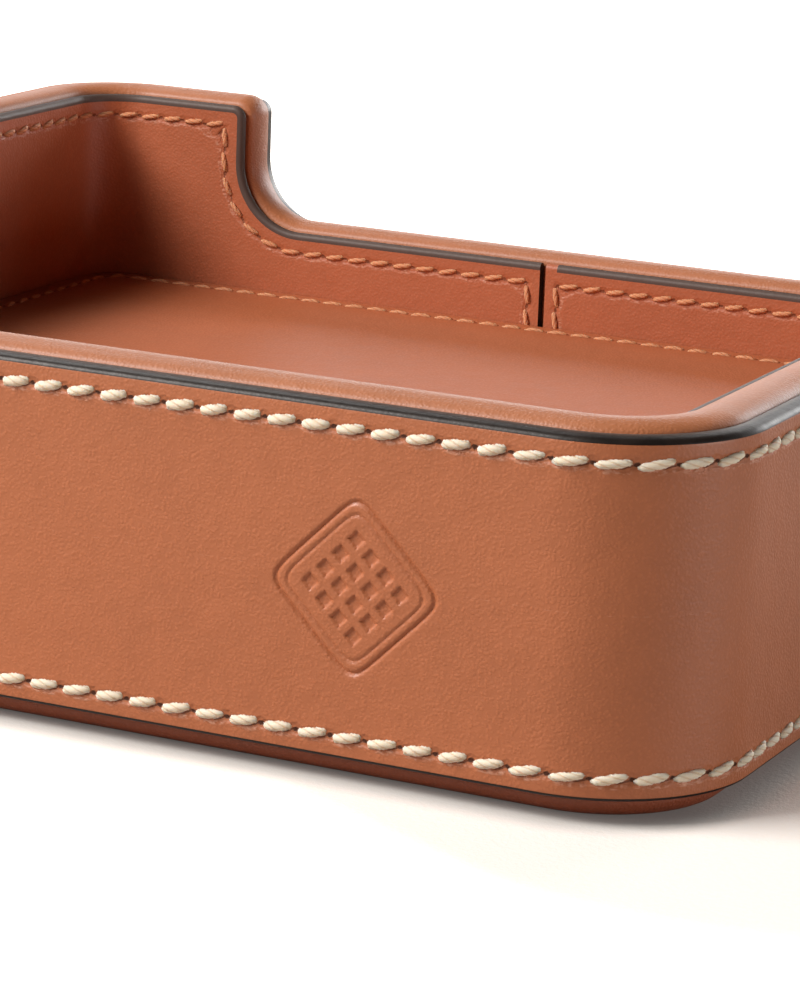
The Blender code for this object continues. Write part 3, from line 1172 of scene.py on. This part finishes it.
# Where the rows run
foot_row = band_foot + outer_foot_gap
outer_lift = wall_lift(0.0)
outer_edge = edge_row(outer_top_gap, foot_row, corner_splits(top_lead))
foot_marks = [seam_row_gap, *corner_splits(foot_lead), outline.length - seam_row_gap]
outer_foot = [[(begin, foot_row), (end, foot_row)] for begin, end in zip(foot_marks, foot_marks[1:])]
outer_runs = chain(outer_edge, outer_pitch, outer_lift, corner_stitches)
outer_runs += chain(outer_foot, outer_pitch, outer_lift, corner_stitches)
lining_lift = wall_lift(wall_thickness)
lining_edge = edge_row(inner_gap, low_top - inner_gap - 2 * inner_pitch)
lining_runs = chain(lining_edge, inner_pitch, lining_lift)
floor_loop = plan_ring(wall_thickness + floor_row_gap)
floor_runs = chain([floor_loop + floor_loop[:1]], inner_pitch, on_floor)


# Studio

def stand_studio():
    """Pale floor, soft lights and the world round them."""
    floor_data = bmesh.new()
    bmesh.ops.create_grid(floor_data, x_segments=1, y_segments=1, size=6.0)
    ground = piece_from("studio_floor", floor_data, [floor_paper()])
    for light in studio_lights:
        soft_light(*light)
    world = bpy.data.worlds.new("studio")
    bpy.context.scene.world = world
    world.use_nodes = True
    background = world.node_tree.nodes["Background"]
    background.inputs["Color"].default_value = (1.0, 0.98, 0.96, 1.0)
    background.inputs["Strength"].default_value = world_strength


def floor_paper():
    """White paper floor, a little darker for the light that it throws back on the tray, with a painted
    contact shadow and a camera-only glow that is held back round the tray.
    """
    material, w, shader = new_material("studio_paper", (0.9, 0.9, 0.9), 0.9, 0.1)
    seen = w.tree.nodes.new("ShaderNodeLightPath").outputs
    direct = w.math("MAXIMUM", seen["Is Camera Ray"], seen["Is Transmission Ray"])
    place = w.here()
    tooth = w.noise(place, 1400.0, 3.0, 0.7)
    speckled = w.mix(tooth, (0.99, 0.89, 0.79, 1.0), (0.98, 0.93, 0.88, 1.0))
    x, y, z = w.parts(place)
    away = w.beyond_outline(x, y)
    # The camera-only glow starts low next to the tray and later on its right side, so it paints how the
    # shadow fades and lifts it a little.
    shadow_side = w.times(w.math("MAXIMUM", w.minus(x, half_x / 2), 0.0), 0.5)
    open_reach = w.minus(away, shadow_side)
    near_glow = w.smooth(open_reach, 0.0, 10.0 * MM, 0.06, 0.62)
    glow = w.add(near_glow, w.smooth(open_reach, 11.0 * MM, 220.0 * MM, 0.0, 0.40))
    # Painted contact shadow: the paper darkens towards the tray's outline.
    shaded = w.mix(w.smooth(away, -3.0 * MM, 4.0 * MM, 0.40, 1.0), (0.05, 0.03, 0.02, 1.0), speckled)
    w.fill(shader, {
        "Base Color": w.mix(direct, (0.52, 0.45, 0.40, 1.0), shaded), "Normal": w.bump(tooth, 0.08 * MM),
        "Emission Color": (1.0, 0.97, 0.94, 1.0), "Emission Strength": w.times(direct, glow),
    })
    return material


def soft_light(name, azimuth, elevation, height, power):
    """A rectangular light at a bearing from the tray, turned to face it."""
    data = bpy.data.lights.new(name, "AREA")
    data.shape = "RECTANGLE"
    data.size = light_width
    data.size_y = height
    data.energy = power
    bearing = math.radians(azimuth)
    rise = math.radians(elevation)
    away = Vector((math.sin(bearing) * math.cos(rise), -math.cos(bearing) * math.cos(rise), math.sin(rise)))
    lamp = stand(name, data)
    lamp.location = away * light_distance
    lamp.rotation_euler = away.to_track_quat("Z", "Y").to_euler()


def place_camera():
    """A camera at the place and angle from which the photograph was taken."""
    data = bpy.data.cameras.new("camera")
    data.sensor_width = sensor
    data.lens = focal_share * sensor
    data.clip_start = 0.01
    pose = Matrix.Translation(camera_place)
    for angle, axis in ((camera_heading, "Z"), (math.pi / 2 - camera_pitch, "X"), (camera_roll, "Z")):
        pose = pose @ Matrix.Rotation(angle, 4, axis)
    camera = stand("camera", data)
    camera.matrix_world = pose
    bpy.context.scene.camera = camera


def dress_carcass():
    """Raw board and timber on the solids inside the walls and the base."""
    board = carcass_wood("fibre_board", (0.30, 0.225, 0.15), (1.0, 1.0, 6.0), 500.0)
    timber = carcass_wood("post_timber", (0.42, 0.29, 0.16), (9.0, 9.0, 0.6), 120.0)
    finishes = {"board": (board, "board"), "stiffener": (board, "board"), "post": (timber, "post")}
    for name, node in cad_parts.items():
        material, slot = finishes.get(name.split("_")[-1], (None, None))
        if material:
            for holder in node.material_slots:
                holder.link = "OBJECT"
                holder.material = material


place_camera()
build_outer_band()
build_lining_band()
build_rim_wrap()
build_floor()
build_base()
outer_rows = [(outer_runs, outer_lift, off_the_wall(1))]
build_stitches("outer_stitches", outer_rows, cream_thread, "thread", outer_thread_radius)
inner_rows = [(lining_runs, lining_lift, off_the_wall(-1)), (floor_runs, on_floor, up_from_floor)]
build_stitches("lining_stitches", inner_rows, tan_thread, "lining_thread", inner_thread_radius)
dress_carcass()
stand_studio()

bpy.context.scene.view_settings.view_transform = "Standard"
